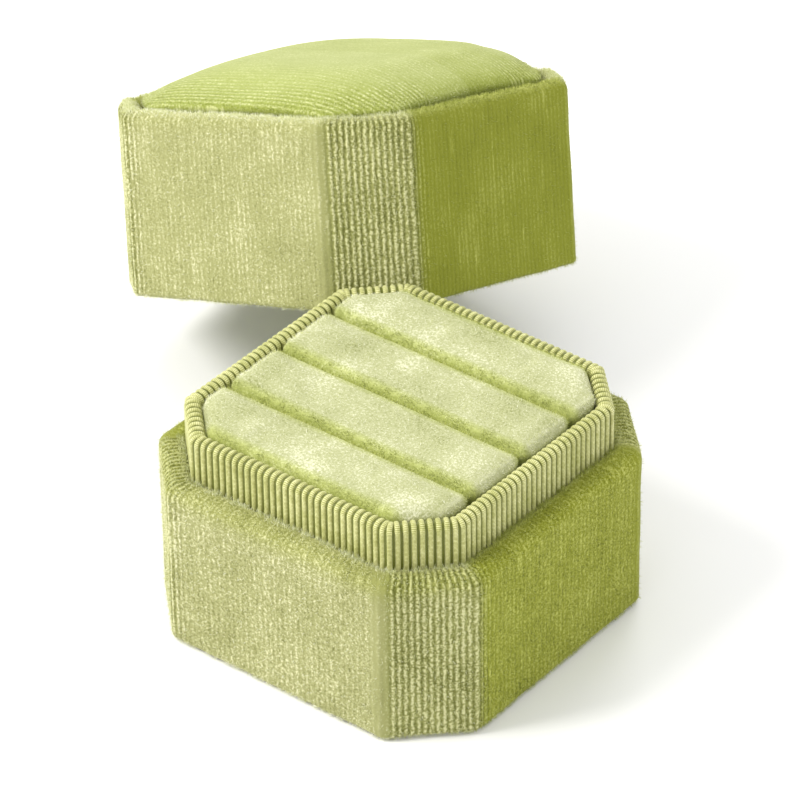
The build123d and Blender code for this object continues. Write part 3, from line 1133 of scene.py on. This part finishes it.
def make_dome():
    plan = plain_octagon(dome_inset + 0.15 * MM)
    dome = block("lid_dome", plan, dome_foot, dome_foot + 2.5 * MM, 0.9 * MM, 1.6 * MM)
    dome.data.transform(Matrix.Scale(sim_scale, 4))
    skin = dome.modifiers.new("Even skin", "REMESH")
    skin.mode = "VOXEL"
    skin.voxel_size = 0.7 * MM * sim_scale
    baked(dome)
    dome.data.transform(Matrix.Scale(1 / sim_scale, 4))
    points = read_points(dome.data)
    share = np.clip((points[:, 2] - dome_foot) / (2.5 * MM), 0, 1)
    rise = dome_height(points[:, 0], points[:, 1])
    points[:, 2] += share * (3.3 * rise + 0.7 * dome_height(1.25 * points[:, 0], 1.25 * points[:, 1])) * MM
    over_rim = np.clip((points[:, 2] - lid_height + 0.5 * MM) / (0.8 * MM), 0, 1) * (1 - rise)
    points[:, :2] *= 1 + (0.072 * over_rim)[:, None]
    write_points(dome.data, points)
    swell(dome, 0.6 * MM, 0.5 * MM)
    return dome


dome = make_dome()
points = read_points(dome.data)
edge = 1 - dome_height(points[:, 0], points[:, 1])
cloth_map = dome.data.uv_layers.new(name="cloth")
where = np.zeros(len(dome.data.loops), dtype=np.int64)
dome.data.loops.foreach_get("vertex_index", where)
across = points[:, 1] + 0.25 * points[:, 2] + 0.03 * points[:, 0]
cloth_map.data.foreach_set(
    "uv", (np.stack((across[where], points[where, 0]), 1) / MM).astype(np.float32).reshape(-1))
# Pale in the middle and deep towards the rim, painted shade where the dome sinks into it; paler again on
# the half with y below zero.
put_attribute(dome, "lay", np.clip(0.75 - 0.6 * edge + 0.3 * (points[:, 1] < 0), 0, 1))
put_attribute(dome, "cut", np.clip((edge - 0.25) / 0.5, 0, 1) * (np.abs(points[:, 1]) > 8 * MM) * 0.6)
put_attribute(dome, "fuzz", np.clip((edge - 0.8) / 0.2, 0, 1) * 0.25)
dome.data.materials.append(dome_velvet)
dome.data.transform(lid_place)
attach(dome, "lid")
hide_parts("lid_dome_velvet", "lid_dome_foam")
grow_pile("dome_pile", [dome], "lid", 41, density=28.0, length=0.35 * MM)
print("dome:", len(dome.data.polygons), "faces")

# %% [markdown]
# ## Inside the lid
# The lid is lined in the usual way for such a box: smooth cloth on the walls and a
# softly padded ceiling.

# %% Line the lid
lining_velvet = make_velvet(
    "Lid lining",
    pale=(colour(138, 144, 74), colour(178, 184, 112), colour(214, 218, 158)),
    deep=(colour(118, 126, 46), colour(156, 166, 80), colour(198, 204, 130)),
    sheen=0.2, wales=None, tuft=0.22 * MM, tufts=0.8, flecks=0.2,
)
lining_rows = rise_rows(lid_wall, 4.9 * MM, ceiling_z, 1.0 * MM, 0.3 * MM)[::-1]
lining_rows += rise_rows(2.56 * MM, 4.9 * MM, ceiling_z, 4.0 * MM, 0.3 * MM)
lining = sweep("lid_lining", lining_rows, (30, 12, 4))[0]
put_attribute(lining, "lay", np.full(len(lining.data.vertices), 0.6))
lining.data.materials.append(lining_velvet)
lining.data.transform(lid_place)
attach(lining, "lid")
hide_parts("lid_wall_lining")

plan = plain_octagon(lid_wall + 0.25 * MM)
ceiling = block("lid_ceiling", plan, ceiling_low + 0.1 * MM, ceiling_z, 0.4 * MM, 0.8 * MM)
swell(ceiling, 0.6 * MM, 0.4 * MM)
points = read_points(ceiling.data)
points[:, 2] = np.minimum(points[:, 2], ceiling_z)
write_points(ceiling.data, points)
put_attribute(ceiling, "lay", np.full(len(points), 0.8))
ceiling.data.materials.append(pad_velvet)
ceiling.data.transform(lid_place)
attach(ceiling, "lid")
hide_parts("lid_ceiling_velvet", "lid_ceiling_foam")
print("lid lined")

# %% [markdown]
# ## Boards and felt
# The boards are hidden by cloth but keep a finish of their own: greyboard is pressed
# paper pulp with darker fibres in it. The felt under the base is matted wool.

# %% Board and felt
def make_pulp(name, low, high, size, bump_depth, roughness):
    material, wires, shader = new_material(name)
    place = wires.place()
    fibres = wires.noise(wires.stretch(place, (1.0, 0.45, 0.8)), 1 / size, 5.0, 0.7)
    wires.join(wires.mix(wires.fit(fibres, 0.35, 0.65), low, high), shader.inputs["Base Color"])
    wires.bump(shader, fibres, 0.5, bump_depth)
    shader.inputs["Roughness"].default_value = roughness
    return material


greyboard = make_pulp("Greyboard", colour(120, 116, 108), colour(176, 172, 162), 0.8 * MM, 0.05 * MM, 0.9)
felt = make_pulp("Felt", colour(92, 102, 40), colour(140, 150, 76), 0.5 * MM, 0.12 * MM, 0.95)
foam = make_pulp("Foam", colour(226, 222, 206), colour(246, 244, 232), 0.4 * MM, 0.1 * MM, 0.9)
finishes = {"greyboard": greyboard, "felt": felt, "foam": foam}
for entry in frame["record"]["subparts"]:
    finish = finishes.get(entry.get("material_slot"))
    if finish is not None:
        node = frame["nodes"][entry["node"]]
        node.data.materials.clear()
        node.data.materials.append(finish)
print("boards, felt and foam finished")
